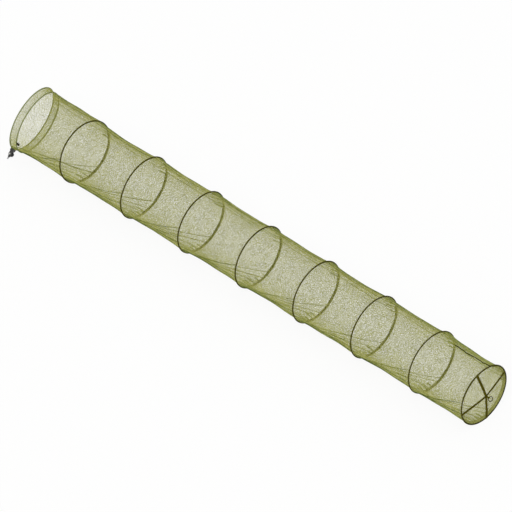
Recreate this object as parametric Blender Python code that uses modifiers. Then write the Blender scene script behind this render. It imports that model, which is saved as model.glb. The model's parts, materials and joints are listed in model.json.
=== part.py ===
"""Keep net: a long mesh tube held open by rings, lying on its rings with its mouth towards -X.

Units are metres and +Z is up. The net runs along X from the mouth ring to the base ring. The mouth ring and
the collar ring behind it lean together, and the first body ring leans a little the other way. The block that
screws to a bank stick is clamped on the mouth ring.
"""

from math import cos, pi, sin

import bmesh
import bpy
from mathutils import Matrix, Vector

# The rings: radii are those of the rod's centreline, in the middle of a facet
RING_RADIUS = 0.200
MOUTH_FLARE = 0.0075
COLLAR_FLARE = 0.0015
BASE_FLARE = -0.0080
SEGMENTS = 28
ROD_RADIUS = 0.0030
CLEARANCE = 0.0003
TAPE_WALL = 0.0013

# The bays between the rings
COLLAR_STEP = 0.044
FIRST_BAY = 0.382
SECOND_BAY = 0.472
BAY = 0.456
MIDDLE_BAYS = 5
LAST_BAY = 0.407
LEAN = 8.2 * pi / 180
LEAN_BACK = 5.6 * pi / 180
LEAN_AXIS = 49.9 * pi / 180

# The netting: how far along a bay it is drawn in, and to what share of the rings' radius
NET_WALL = 0.0012
NET_COLUMNS = 14
NET_STRAND = 0.0024
WAIST_SHARES = ((0.0, 1.006), (0.33, 0.955), (0.67, 0.955), (1.0, 1.006))
BASE_BULGE = 0.026
BASE_PITCH = 0.0335
BASE_STRAND = 0.0022
BASE_KNOT_SHARE = 0.22

# The straps and the pull ring on the base
STRAP_WIDTH = 0.013
STRAP_THICKNESS = 0.0015
STRAP_ANGLES = (15 * pi / 180, 102.3 * pi / 180)
STRAP_OVERRUN = 0.0010
STRAP_SHARES = (-1.0, -0.88, -0.74, -0.60, -0.45, -0.30, -0.15, -0.05)
KEEPER_WIDTH = 0.010
KEEPER_WALL = 0.0012
KEEPER_EYE = 0.0034
KEEPER_HEIGHT = 0.0085
KEEPER_ANGLE = 47 * pi / 180
PULL_RADIUS = 0.0145
PULL_WIRE = 0.0021

# The label on the collar ring
TAG_SIZE = 0.019
TAG_THICKNESS = 0.0010
TAG_ANGLE = 84.5 * pi / 180
TAG_BEVEL = 0.0003

# The block on the mouth ring: z is out from the rod, y along the rod, x along the net
CLAMP_LENGTH = 0.032
CLAMP_WIDTH = 0.024
CLAMP_INSIDE = 0.0085
CLAMP_OUTSIDE = 0.0140
CLAMP_BEVEL = 0.0010
FORK_WIDTH = 0.018
FORK_SPAN = 0.023
FORK_FLOOR = 0.020
TONGUE = 0.0120
PIVOT_HEIGHT = 0.034
PIVOT_RADIUS = 0.0030
SCREW_RADIUS = 0.0015
SCREW_HEAD = 0.0028
SCREW_HEAD_DEPTH = 0.0018
SCREW_REACH = 0.0090
BOLT_HEAD = 0.0055
BOLT_HEAD_DEPTH = 0.0036
BOLT_CROWN_SHARE = 0.7
KNOB_RADIUS = 0.0138
KNOB_LOBE = 0.0008
KNOB_LOBES = 8
KNOB_DEPTH = 0.0120
BOSS_RADIUS = 0.0070
BOSS_START = 0.0440
BOSS_END = 0.0540
STUD_RADIUS = 0.0047625
STUD_END = 0.0680
STUD_ROOT = 0.0455
STUD_CHAMFER = 0.0010
ROUND_SIDES = 16
KNOB_POINTS = 48

MERGE = 0.00001
OVERRUN = 0.010

MOUTH_RADIUS = RING_RADIUS + MOUTH_FLARE
COLLAR_RADIUS = RING_RADIUS + COLLAR_FLARE
BASE_RADIUS = RING_RADIUS + BASE_FLARE
HEXAGON = 6
TAPE_RADIUS = ROD_RADIUS + CLEARANCE / cos(pi / HEXAGON) + TAPE_WALL
TAPE_INSIDE = TAPE_RADIUS - TAPE_WALL
NET_SEAT = TAPE_RADIUS + CLEARANCE
HALF_STEP = pi / SEGMENTS
BLOCK_ANGLE = round(LEAN_AXIS / (2 * HALF_STEP)) * 2 * HALF_STEP
RING_PHASE = BLOCK_ANGLE - LEAN_AXIS


def clear_scene():
    for item in list(bpy.data.objects):
        bpy.data.objects.remove(item, do_unlink=True)


def collection(name):
    made = bpy.data.collections.new(name)
    bpy.context.scene.collection.children.link(made)
    return made


def finish(name, colour, roughness, metallic=0.0):
    made = bpy.data.materials.new(name)
    made.use_nodes = True
    shader = made.node_tree.nodes["Principled BSDF"]
    shader.inputs["Base Color"].default_value = (*colour, 1.0)
    shader.inputs["Roughness"].default_value = roughness
    shader.inputs["Metallic"].default_value = metallic
    return made


clear_scene()
PARTS = collection("keep_net")
CUTTERS = collection("cutters")

ROD = finish("ring_rod", (0.035, 0.036, 0.014), 0.55)
TAPE = finish("sleeve_tape", (0.060, 0.066, 0.018), 0.85)
NETTING = finish("netting", (0.240, 0.235, 0.060), 0.75)
COLLAR_NET = finish("collar_netting", (0.200, 0.215, 0.070), 0.80)
WEBBING = finish("webbing", (0.040, 0.036, 0.006), 0.90)
LABEL = finish("label", (0.025, 0.022, 0.012), 0.85)
NYLON = finish("block_nylon", (0.012, 0.012, 0.012), 0.45)
PLATED = finish("plated_steel", (0.300, 0.300, 0.290), 0.40, 1.0)
ALLOY = finish("stud_alloy", (0.420, 0.420, 0.420), 0.35, 1.0)
PULL = finish("pull_ring_nylon", (0.060, 0.058, 0.028), 0.45)


def empty(name, parent, matrix):
    made = bpy.data.objects.new(name, None)
    PARTS.objects.link(made)
    made.parent = parent
    made.matrix_local = matrix
    bpy.context.view_layer.update()
    return made


def part(name, data, material, parent, matrix=None):
    """A finished piece: its node's object, its finish and its place under its parent."""
    made = bpy.data.objects.new(name, data)
    data.materials.clear()
    data.materials.append(material)
    PARTS.objects.link(made)
    made.parent = parent
    made.matrix_local = matrix or Matrix()
    return made


def cutter(made):
    """Moves a shape out of the parts, as a tool that only shapes other pieces."""
    for owner in list(made.users_collection):
        owner.objects.unlink(made)
    CUTTERS.objects.link(made)
    made.hide_render = True
    made.display_type = "WIRE"
    return made


def combine(target, tool, operation):
    step = target.modifiers.new(tool.name, "BOOLEAN")
    step.operation = operation
    step.object = tool
    cutter(tool)


def box(name, low, high, parent, material=NYLON, bevel=0.0):
    """A block between two corners given in its parent's frame."""
    mesh = bpy.data.meshes.new(name)
    form = bmesh.new()
    bmesh.ops.create_cube(form, size=1.0)
    for point in form.verts:
        point.co = Vector(low[i] + (point.co[i] + 0.5) * (high[i] - low[i]) for i in range(3))
    form.to_mesh(mesh)
    form.free()
    made = part(name, mesh, material, parent)
    if bevel:
        edge = made.modifiers.new("edges", "BEVEL")
        edge.width = bevel
        edge.segments = 2
    return made


def round_bar(name, radius, start, end, along, at, parent, material=NYLON):
    """A cylinder along axis number `along` of its parent's frame, between two places on that axis."""
    mesh = bpy.data.meshes.new(name)
    form = bmesh.new()
    bmesh.ops.create_cone(
        form, cap_ends=True, segments=ROUND_SIDES, radius1=radius, radius2=radius, depth=end - start
    )
    turn = Matrix() if along == 2 else Matrix.Rotation(-pi / 2, 4, "X")
    centre = Vector(at)
    centre[along] = (start + end) / 2
    bmesh.ops.transform(form, matrix=Matrix.Translation(centre) @ turn, verts=form.verts)
    form.to_mesh(mesh)
    form.free()
    return part(name, mesh, material, parent)


def turned(name, profile, sides, material, parent, matrix):
    """A solid of revolution about its own Z axis, from (radius, height) points, top to bottom."""
    mesh = bpy.data.meshes.new(name)
    points = [(radius, 0.0, height) for radius, height in profile]
    mesh.from_pydata(points, [(i, i + 1) for i in range(len(points) - 1)], [])
    made = part(name, mesh, material, parent, matrix)
    turn = made.modifiers.new("turn", "SCREW")
    turn.steps = turn.render_steps = sides
    turn.use_merge_vertices = True
    turn.merge_threshold = MERGE
    return made


def ring_section(radius):
    return [(radius * cos(k * pi / 3), radius * sin(k * pi / 3)) for k in range(HEXAGON)]


def tape_section():
    """A tape folded over the rod from outside: half a hexagon out and the same half back inside it."""
    out = [(TAPE_RADIUS * cos(k * pi / 3), TAPE_RADIUS * sin(k * pi / 3)) for k in range(4)]
    back = [(TAPE_INSIDE * cos(k * pi / 3), TAPE_INSIDE * sin(k * pi / 3)) for k in range(3, -1, -1)]
    return out + back


def corner(radius, along, step):
    """A corner of a ring whose facets lie at the radius, step counted from the facet that faces down."""
    angle = (step + 0.5) * 2 * HALF_STEP
    reach = radius / cos(HALF_STEP)
    return Vector((along, -reach * sin(angle), -reach * cos(angle)))


def ring_piece(name, section, radius, material, parent):
    """Turns a closed section about the X axis, so that one facet of the ring faces down."""
    mesh = bpy.data.meshes.new(name)
    points = [corner(radius + out, along, 0) for along, out in section]
    edges = [(i, (i + 1) % len(points)) for i in range(len(points))]
    mesh.from_pydata(points, edges, [])
    made = part(name, mesh, material, parent)
    turn = made.modifiers.new("turn", "SCREW")
    turn.axis = "X"
    turn.steps = turn.render_steps = SEGMENTS
    turn.use_merge_vertices = True
    turn.merge_threshold = MERGE
    return made


def reach_down(radius, turn):
    """How far a ring's tape reaches below the ring's centre once the ring is turned."""
    tape = [corner(radius + out, along, step) for along, out in tape_section() for step in range(SEGMENTS)]
    return -min((turn @ point).z for point in tape)


def ring_frame(name, radius, x, y, turn):
    """The empty at a ring's centre, at the height where the ring's tape stands on the floor."""
    place = Matrix.Translation((x, y, reach_down(radius, turn)))
    return empty(name, NET, place @ turn.to_4x4())


def net_tube(name, start, end, radii, stations, columns, seat, material):
    """The open tube that a length of netting follows, from one ring's tape to the next one's."""
    turns = [frame.matrix_local.to_quaternion() for frame in (start, end)]
    first = start.matrix_local @ Vector((seat, 0, 0))
    last = end.matrix_local @ Vector((-seat, 0, 0))
    skip = SEGMENTS // columns
    mesh = bpy.data.meshes.new(name)
    form = bmesh.new()
    rows = []
    for share, waist in stations:
        centre = first.lerp(last, share)
        turn = turns[0].slerp(turns[1], share)
        radius = waist * (radii[0] + (radii[1] - radii[0]) * share)
        corners = [centre + turn @ corner(radius, 0, k * skip) for k in range(columns)]
        rows.append([form.verts.new(place) for place in corners])
    for near, far in zip(rows, rows[1:]):
        for k in range(columns):
            following = (k + 1) % columns
            form.faces.new((near[k], near[following], far[following], far[k]))
    bmesh.ops.recalc_face_normals(form, faces=form.faces)
    form.to_mesh(mesh)
    form.free()
    return part(name, mesh, material, NET)


def as_strands(made, thickness):
    """Leaves a strand along each edge of a net's surface and an opening in each of its faces."""
    strands = made.modifiers.new("strands", "WIREFRAME")
    strands.thickness = thickness
    strands.use_boundary = True
    strands.use_even_offset = False
    return made


def flat_outline(name, outlines, thickness, material, parent, matrix, bevel=0.0):
    """A plate cut from flat closed outlines, the second and later ones being its holes."""
    curve = bpy.data.curves.new(name, "CURVE")
    curve.dimensions = "2D"
    curve.fill_mode = "BOTH"
    for outline in outlines:
        line = curve.splines.new("POLY")
        line.points.add(len(outline) - 1)
        for point, (x, y) in zip(line.points, outline):
            point.co = (x, y, 0.0, 1.0)
        line.use_cyclic_u = True
    curve.extrude = thickness / 2
    made = part(name, curve, material, parent, matrix)
    if bevel:
        joined = made.modifiers.new("joined", "WELD")
        joined.merge_threshold = MERGE
        edge = made.modifiers.new("edges", "BEVEL")
        edge.width = bevel
        edge.segments = 2
        edge.limit_method = "ANGLE"
    return made


def circle(radius, points, centre=(0.0, 0.0), start=0.0, turn=2 * pi):
    steps = points if turn == 2 * pi else points - 1
    angles = [start + turn * k / steps for k in range(points)]
    return [(centre[0] + radius * cos(a), centre[1] + radius * sin(a)) for a in angles]


NET = empty("net", None, Matrix())
UPRIGHT = Matrix.Identity(3)
LEAN_LINE = Vector((0, sin(LEAN_AXIS), cos(LEAN_AXIS)))
LEANING = Matrix.Rotation(LEAN, 3, LEAN_LINE) @ Matrix.Rotation(RING_PHASE, 3, "X")
LEANING_BACK = Matrix.Rotation(-LEAN_BACK, 3, LEAN_LINE)


def ring(name, sleeve, radius, frame):
    ring_piece(name, ring_section(ROD_RADIUS), radius, ROD, frame)
    return ring_piece(sleeve, tape_section(), radius, TAPE, frame)


# The mouth, the collar and the body rings
mouth = ring_frame("mouth", MOUTH_RADIUS, 0.0, 0.0, LEANING)
mouth_sleeve = ring("mouth_ring", "mouth_sleeve", MOUTH_RADIUS, mouth)
step_back = LEANING @ Vector((COLLAR_STEP, 0, 0))
collar = ring_frame("collar", COLLAR_RADIUS, step_back.x, step_back.y, LEANING)
ring("collar_ring", "collar_sleeve", COLLAR_RADIUS, collar)
collar_band = net_tube(
    "collar_band",
    mouth,
    collar,
    (MOUTH_RADIUS, COLLAR_RADIUS),
    ((0.0, 1.0), (1.0, 1.0)),
    SEGMENTS,
    NET_SEAT,
    COLLAR_NET,
)
wall = collar_band.modifiers.new("wall", "SOLIDIFY")
wall.thickness = NET_WALL
wall.offset = -1.0

frames = [collar]
along = step_back.x
bays = [FIRST_BAY, SECOND_BAY] + [BAY] * MIDDLE_BAYS
for number, bay in enumerate(bays, start=1):
    along += bay
    turn = LEANING_BACK if number == 1 else UPRIGHT
    frame = ring_frame(f"station_{number}", RING_RADIUS, along, 0.0, turn)
    ring(f"body_ring_{number}", f"ring_sleeve_{number}", RING_RADIUS, frame)
    frames.append(frame)
base = ring_frame("base", BASE_RADIUS, along + LAST_BAY, 0.0, UPRIGHT)
ring("base_ring", "base_sleeve", BASE_RADIUS, base)
frames.append(base)

radii = [COLLAR_RADIUS] + [RING_RADIUS] * len(bays) + [BASE_RADIUS]
for number in range(1, len(frames)):
    panel = net_tube(
        f"net_panel_{number}",
        frames[number - 1],
        frames[number],
        (radii[number - 1], radii[number]),
        WAIST_SHARES,
        NET_COLUMNS,
        NET_SEAT + NET_STRAND / 2,
        NETTING,
    )
    as_strands(panel, NET_STRAND)


def base_net():
    """The net across the base: a disc cut into square meshes, bulged outwards, then given its strands."""
    reach = (BASE_RADIUS - ROD_RADIUS - CLEARANCE - BASE_STRAND / 2) / cos(HALF_STEP)
    mesh = bpy.data.meshes.new("base_net")
    form = bmesh.new()
    bmesh.ops.create_circle(form, cap_ends=True, segments=SEGMENTS, radius=reach)
    bmesh.ops.rotate(form, verts=form.verts, matrix=Matrix.Rotation(HALF_STEP, 3, "Z"))
    count = int(reach / BASE_PITCH)
    for normal in (Vector((1, 0, 0)), Vector((0, 1, 0))):
        for number in range(-count, count):
            place = normal * (number + 0.5) * BASE_PITCH
            geometry = form.verts[:] + form.edges[:] + form.faces[:]
            bmesh.ops.bisect_plane(form, geom=geometry, plane_co=place, plane_no=normal)
    bmesh.ops.remove_doubles(form, verts=form.verts, dist=BASE_PITCH * BASE_KNOT_SHARE)
    for point in form.verts:
        out = BASE_BULGE * (1 - (point.co.length / reach) ** 2)
        point.co.z = max(out, 0.0)
    bmesh.ops.rotate(form, verts=form.verts, matrix=Matrix.Rotation(pi / 2, 3, "Y"))
    form.to_mesh(mesh)
    form.free()
    return as_strands(part("base_net", mesh, NETTING, base), BASE_STRAND)


def strap_rise(distance):
    """How far a strap's inner face stands out from the base ring's plane at a distance from the middle."""
    crown = BASE_BULGE + BASE_STRAND / 2 + CLEARANCE - NET_SEAT
    return NET_SEAT + crown * (1 - (distance / BASE_RADIUS) ** 2)


def strap(name, angle, lift):
    """Webbing laid over the base from side to side, lifted in the middle where it crosses another."""
    reach = BASE_RADIUS + STRAP_OVERRUN
    mesh = bpy.data.meshes.new(name)
    form = bmesh.new()
    rows = []
    side = STRAP_WIDTH / 2
    for share in STRAP_SHARES + tuple(-share for share in reversed(STRAP_SHARES)):
        place = reach * share
        raised = abs(share) == min(abs(near) for near in STRAP_SHARES)
        out = strap_rise(place) + lift * raised
        rows.append([form.verts.new((out, place, across)) for across in (-side, side)])
    for near, far in zip(rows, rows[1:]):
        form.faces.new((near[0], far[0], far[1], near[1]))
    form.to_mesh(mesh)
    form.free()
    made = part(name, mesh, WEBBING, base, Matrix.Rotation(angle, 4, "X"))
    wall = made.modifiers.new("wall", "SOLIDIFY")
    wall.thickness = STRAP_THICKNESS
    wall.offset = 1.0
    return made


base_net()
strap("strap_under", STRAP_ANGLES[0], 0.0)
strap("strap_over", STRAP_ANGLES[1], STRAP_THICKNESS + CLEARANCE)

# The keeper's frame: x is out from the base, y across the eye and z along it
keeper_foot = strap_rise(0.0) + 2 * (STRAP_THICKNESS + CLEARANCE)
keeper_place = Matrix.Translation((keeper_foot, 0, 0)) @ Matrix.Rotation(-KEEPER_ANGLE, 4, "X")
eye = (KEEPER_HEIGHT, 0.0)
shoulder = KEEPER_EYE + KEEPER_WALL
foot = [(0.0, -shoulder), (0.0, shoulder)]
flat_outline(
    "pull_ring_keeper",
    [circle(shoulder, ROUND_SIDES, eye, -pi / 2, pi) + foot[::-1], circle(KEEPER_EYE, ROUND_SIDES, eye)],
    KEEPER_WIDTH,
    WEBBING,
    base,
    keeper_place,
)
pull_pivot = empty("pull_pivot", base, keeper_place @ Matrix.Translation((KEEPER_HEIGHT, 0, 0)))
bpy.ops.mesh.primitive_torus_add(
    major_segments=24, minor_segments=8, major_radius=PULL_RADIUS, minor_radius=PULL_WIRE
)
torus = bpy.context.object
torus.data.transform(Matrix.Translation((PULL_RADIUS, 0, 0)) @ Matrix.Rotation(pi / 2, 4, "X"))
part("pull_ring", torus.data, PULL, pull_pivot)
bpy.data.objects.remove(torus)

# The label, sewn to the collar ring's tape and lying on the netting behind it
tag_turn = Matrix.Rotation(-TAG_ANGLE - RING_PHASE, 4, "X")
tag_height = -COLLAR_RADIUS * WAIST_SHARES[0][1] / cos(HALF_STEP) - NET_STRAND / 2
tag_frame = empty("tag_place", collar, tag_turn @ Matrix.Translation((NET_SEAT, 0, tag_height)))
box(
    "tag",
    (0.0, -TAG_SIZE / 2, -CLEARANCE - TAG_THICKNESS),
    (TAG_SIZE, TAG_SIZE / 2, -CLEARANCE),
    tag_frame,
    LABEL,
    TAG_BEVEL,
)

# The block: its frame sits on the rod in the middle of one facet of the mouth ring
block_turn = Matrix.Rotation(pi - BLOCK_ANGLE, 4, "X")
block = empty("block", mouth, block_turn @ Matrix.Translation((0, 0, MOUTH_RADIUS)))
half_length = CLAMP_LENGTH / 2
half_width = CLAMP_WIDTH / 2
half_fork = FORK_WIDTH / 2
half_span = FORK_SPAN / 2
groove_radius = ROD_RADIUS + CLEARANCE
bore_radius = PIVOT_RADIUS + CLEARANCE
pivot_at = (0.0, 0.0, PIVOT_HEIGHT)

screw_offset = (groove_radius + half_width) / 2

window = box(
    "sleeve_window",
    (-half_width - CLEARANCE, -half_length - CLEARANCE, -CLAMP_INSIDE - OVERRUN),
    (half_width + CLEARANCE, half_length + CLEARANCE, CLAMP_OUTSIDE),
    block,
)
combine(mouth_sleeve, window, "DIFFERENCE")
combine(collar_band, window, "DIFFERENCE")


def clamp_body():
    made = box(
        "clamp_body",
        (-half_width, -half_length, CLEARANCE / 2),
        (half_width, half_length, CLAMP_OUTSIDE),
        block,
        bevel=CLAMP_BEVEL,
    )
    seat = CLAMP_OUTSIDE - CLAMP_BEVEL
    prong = box("fork_stem", (-half_fork, -half_span, seat), (half_fork, half_span, PIVOT_HEIGHT), block)
    combine(made, prong, "UNION")
    tip = round_bar("fork_tip", half_fork, -half_span, half_span, 1, pivot_at, block)
    combine(made, tip, "UNION")
    gap = TONGUE / 2 + CLEARANCE
    slot = box(
        "fork_slot",
        (-half_fork - OVERRUN, -gap, FORK_FLOOR),
        (half_fork + OVERRUN, gap, PIVOT_HEIGHT + half_fork + OVERRUN),
        block,
    )
    combine(made, slot, "DIFFERENCE")
    bore = round_bar("fork_bore", bore_radius, -half_span - OVERRUN, half_span + OVERRUN, 1, pivot_at, block)
    combine(made, bore, "DIFFERENCE")
    return made


def clamp_holes(made, name):
    """The groove for the rod and the two screw holes, cut alike in both halves of the clamp."""
    end = half_length + OVERRUN
    groove = round_bar(f"{name}_groove", groove_radius, -end, end, 1, (0.0, 0.0, 0.0), block)
    combine(made, groove, "DIFFERENCE")
    for side in (-1, 1):
        at = (side * screw_offset, 0.0, 0.0)
        low = -CLAMP_INSIDE - OVERRUN
        high = SCREW_REACH + CLEARANCE
        hole = round_bar(f"{name}_hole_{side}", SCREW_RADIUS + CLEARANCE, low, high, 2, at, block)
        combine(made, hole, "DIFFERENCE")


clamp_holes(clamp_body(), "body")
cap = box(
    "clamp_cap",
    (-half_width, -half_length, -CLAMP_INSIDE),
    (half_width, half_length, -CLEARANCE / 2),
    block,
    bevel=CLAMP_BEVEL,
)
clamp_holes(cap, "cap")
for side in (-1, 1):
    sink = round_bar(
        f"cap_sink_{side}",
        SCREW_HEAD + CLEARANCE,
        -CLAMP_INSIDE - OVERRUN,
        -CLAMP_INSIDE + SCREW_HEAD_DEPTH + CLEARANCE,
        2,
        (side * screw_offset, 0.0, 0.0),
        block,
    )
    combine(cap, sink, "DIFFERENCE")


def screw(name, side):
    """One clamp screw, head inwards."""
    low = -CLAMP_INSIDE
    neck = low + SCREW_HEAD_DEPTH
    profile = [
        (0.0, SCREW_REACH),
        (SCREW_RADIUS, SCREW_REACH),
        (SCREW_RADIUS, neck),
        (SCREW_HEAD, neck),
        (SCREW_HEAD, low),
        (0.0, low),
    ]
    place = Matrix.Translation((side * screw_offset, 0, 0))
    return turned(name, profile, ROUND_SIDES, PLATED, block, place)


screw("clamp_screw_1", -1)
screw("clamp_screw_2", 1)

# The pivot: the bolt's head is on the +y side and the knob on the -y side
pivot = empty("arm_pivot", block, Matrix.Translation(pivot_at))
across = Matrix.Rotation(-pi / 2, 4, "X")
head_face = half_span + CLEARANCE
knob_end = -half_span - CLEARANCE - KNOB_DEPTH
turned(
    "pivot_bolt",
    [
        (0.0, head_face + BOLT_HEAD_DEPTH),
        (BOLT_HEAD * BOLT_CROWN_SHARE, head_face + BOLT_HEAD_DEPTH),
        (BOLT_HEAD, head_face + BOLT_HEAD_DEPTH / 2),
        (BOLT_HEAD, head_face),
        (PIVOT_RADIUS, head_face),
        (PIVOT_RADIUS, knob_end),
        (0.0, knob_end),
    ],
    ROUND_SIDES,
    PLATED,
    pivot,
    across,
)


def grip_outline():
    """The knob's outline: a circle whose radius rises and falls once for each lobe."""
    points = []
    for k in range(KNOB_POINTS):
        angle = 2 * pi * k / KNOB_POINTS
        radius = KNOB_RADIUS + KNOB_LOBE * cos(KNOB_LOBES * angle)
        points.append((radius * cos(angle), radius * sin(angle)))
    return points


knob_middle = -half_span - CLEARANCE - KNOB_DEPTH / 2
flat_outline(
    "lock_knob",
    [grip_outline(), circle(bore_radius, ROUND_SIDES)],
    KNOB_DEPTH,
    NYLON,
    pivot,
    Matrix.Translation((0, knob_middle, 0)) @ across,
)


def stud_arm():
    """The swinging arm: an eye in the fork, a stem and a round boss that holds the stud."""
    eye_height = PIVOT_HEIGHT
    half = TONGUE / 2
    made = round_bar("stud_arm", half_fork, -half, half, 1, (0.0, 0.0, 0.0), pivot)
    stem_width = BOSS_RADIUS
    rise = BOSS_START - eye_height
    top = BOSS_END - eye_height
    stem = box("arm_stem", (-stem_width, -half, 0.0), (stem_width, half, rise + CLAMP_BEVEL), pivot)
    combine(made, stem, "UNION")
    boss = round_bar("arm_boss", BOSS_RADIUS, rise, top, 2, (0.0, 0.0, 0.0), pivot)
    combine(made, boss, "UNION")
    bore = round_bar("arm_bore", bore_radius, -half - OVERRUN, half + OVERRUN, 1, (0.0, 0.0, 0.0), pivot)
    combine(made, bore, "DIFFERENCE")
    root = STUD_ROOT - eye_height - CLEARANCE
    socket = round_bar("arm_socket", STUD_RADIUS + CLEARANCE, root, top + OVERRUN, 2, (0.0, 0.0, 0.0), pivot)
    combine(made, socket, "DIFFERENCE")
    return made


stud_arm()
stud_root = STUD_ROOT - PIVOT_HEIGHT
stud_top = STUD_END - PIVOT_HEIGHT
turned(
    "bank_stick_stud",
    [
        (0.0, stud_top),
        (STUD_RADIUS - STUD_CHAMFER, stud_top),
        (STUD_RADIUS, stud_top - STUD_CHAMFER),
        (STUD_RADIUS, stud_root),
        (0.0, stud_root),
    ],
    ROUND_SIDES,
    ALLOY,
    pivot,
    Matrix(),
)


def box_of_parts():
    """The lowest and highest corners of everything that isn't a tool."""
    bpy.context.view_layer.update()
    graph = bpy.context.evaluated_depsgraph_get()
    corners = []
    for item in PARTS.objects:
        if item.type != "EMPTY":
            seen = item.evaluated_get(graph)
            mesh = seen.to_mesh()
            corners += [seen.matrix_world @ point.co for point in mesh.vertices]
            seen.to_mesh_clear()
    return [Vector(pick(c[i] for c in corners) for i in range(3)) for pick in (min, max)]


low, high = box_of_parts()
NET.location = (-(low.x + high.x) / 2, -(low.y + high.y) / 2, -low.z)

for item in PARTS.objects:
    if item.type == "MESH":
        item.data.shade_smooth()
        item.data.set_sharp_from_angle(angle=pi / 6)
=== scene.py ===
# %% [markdown]
# # A keep net
# A keep net is a long tube of fine netting that rings hold open. It lies on its rings here, with its mouth
# at one end and a closed base with two crossed straps at the other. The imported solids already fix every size
# and every joint, so they are loaded first and never moved. What is made here is what they leave out: the
# threads of the netting, the sewn tapes, the webbing and every finish.

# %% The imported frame
import json
from math import cos, pi, radians, sin, sqrt

import bmesh
import bpy
import numpy as np
from mathutils import Matrix, Vector


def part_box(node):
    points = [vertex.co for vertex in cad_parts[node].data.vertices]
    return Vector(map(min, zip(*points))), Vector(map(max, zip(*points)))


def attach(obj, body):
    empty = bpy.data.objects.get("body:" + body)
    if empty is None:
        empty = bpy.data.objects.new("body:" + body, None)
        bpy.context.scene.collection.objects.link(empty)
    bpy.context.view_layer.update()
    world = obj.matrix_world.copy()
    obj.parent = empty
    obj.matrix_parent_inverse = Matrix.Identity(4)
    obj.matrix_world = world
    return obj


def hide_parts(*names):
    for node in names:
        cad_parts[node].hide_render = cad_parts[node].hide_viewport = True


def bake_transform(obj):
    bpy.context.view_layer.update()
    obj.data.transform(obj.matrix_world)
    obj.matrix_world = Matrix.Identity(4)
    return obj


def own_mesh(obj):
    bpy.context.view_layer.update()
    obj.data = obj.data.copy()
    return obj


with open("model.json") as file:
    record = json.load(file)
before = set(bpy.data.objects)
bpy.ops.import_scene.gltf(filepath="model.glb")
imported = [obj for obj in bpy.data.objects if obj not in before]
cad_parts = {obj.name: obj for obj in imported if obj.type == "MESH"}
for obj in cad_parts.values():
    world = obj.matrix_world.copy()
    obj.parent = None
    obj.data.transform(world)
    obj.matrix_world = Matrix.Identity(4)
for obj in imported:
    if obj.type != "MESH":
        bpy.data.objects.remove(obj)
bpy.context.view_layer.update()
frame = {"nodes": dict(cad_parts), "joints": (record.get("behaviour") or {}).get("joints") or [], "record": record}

# %% [markdown]
# ## Places from the frame
# Every piece is placed by the solids. A ring's rod gives the ring's centre, its axis and its radius: the
# middle of its box, the direction in which its points spread least, and their mean distance from that line,
# brought in to the flats of the polygon that the solid is. Angles round the net are counted from the line
# that the mouth leans about, because every ring holds that line alike.

# %% Rings measured
RING_SIDES = 28
ALONG = np.array((1.0, 0.0, 0.0))


def unit(vectors):
    """Each vector divided by its length."""
    return vectors / np.linalg.norm(vectors, axis=-1, keepdims=True)


def points_of(node):
    """The corners of a solid, as an array."""
    mesh = frame["nodes"][node].data
    flat = np.empty(3 * len(mesh.vertices), np.float32)
    mesh.vertices.foreach_get("co", flat)
    return flat.reshape(-1, 3).astype(float)


def middle(node):
    """The middle of a solid's box."""
    low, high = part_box(node)
    return (np.array(low) + np.array(high)) / 2


def thin_way(spread):
    """The direction in which points spread least: the last one of their singular value decomposition."""
    return np.linalg.svd(spread, full_matrices=False)[2][2]


def ring_place(node, body):
    """A ring's centre, axis and radius, measured on the solid of its rod, and its body. The flats of a
    polygon are nearer than its corners, by the cosine of half the angle that a side takes up."""
    centre = middle(node)
    spread = points_of(node) - centre
    axis = thin_way(spread)
    axis = axis * (-1 if axis @ ALONG < 0 else 1)
    across = spread - np.outer(spread @ axis, axis)
    radius = np.linalg.norm(across, axis=1).mean() * cos(pi / RING_SIDES)
    return {"centre": centre, "axis": axis, "radius": radius, "body": body}


mouth = ring_place("mouth_ring", "mouth")
collar = ring_place("collar_ring", "collar")
body_rings = [ring_place(f"body_ring_{k}", f"ring_{k}") for k in range(1, 8)]
base = ring_place("base_ring", "base")
HINGE = unit(np.cross(ALONG, mouth["axis"]))
for ring in (mouth, collar, *body_rings, base):
    print(ring["body"], ring["centre"].round(4), ring["axis"].round(3), round(ring["radius"], 4))

# %% [markdown]
# ## Surfaces from arrays
# All the new pieces are surfaces of two parameters: rows of points round a section, carried along a path. One
# function turns such a grid into a mesh with its own UV map, and another turns thousands of thin threads into
# one mesh at once. The volume inside a grid's faces is measured, so that a closed surface always faces out.

# %% Meshes from grids
UV_MAP = "OFBake"
WELD = 1e-6


def crossed(first, second):
    """Two arrays that pair each number of one row with each number of another."""
    return np.meshgrid(first, second, indexing="ij")


def put_in(name, data):
    """A new object in the scene, with the data that it shows."""
    made = bpy.data.objects.new(name, data)
    bpy.context.scene.collection.objects.link(made)
    return made


def make_piece(name, points, quads, corners, material):
    """A mesh object from arrays of points, of four-cornered faces and of a UV place for each corner."""
    mesh = bpy.data.meshes.new(name)
    mesh.vertices.add(len(points))
    mesh.vertices.foreach_set("co", points.astype(np.float32).ravel())
    mesh.loops.add(quads.size)
    mesh.loops.foreach_set("vertex_index", quads.astype(np.int32).ravel())
    mesh.polygons.add(len(quads))
    mesh.polygons.foreach_set("loop_start", np.arange(0, quads.size, 4, dtype=np.int32))
    mesh.update(calc_edges=True)
    mesh.uv_layers.new(name=UV_MAP).data.foreach_set("uv", corners.astype(np.float32).ravel())
    mesh.shade_smooth()
    mesh.materials.append(material)
    return put_in(name, mesh)


def faces_of(rows, columns, close_rows, close_columns):
    """The corners of a grid's faces, as their rows and their columns. Where the grid is closed, its last row
    or column goes on to the first."""
    row, column = crossed(np.arange(rows - (not close_rows)), np.arange(columns - (not close_columns)))
    step_row = np.stack((row, row + 1, row + 1, row), -1).reshape(-1, 4)
    step_column = np.stack((column, column, column + 1, column + 1), -1).reshape(-1, 4)
    return step_row, step_column


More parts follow.
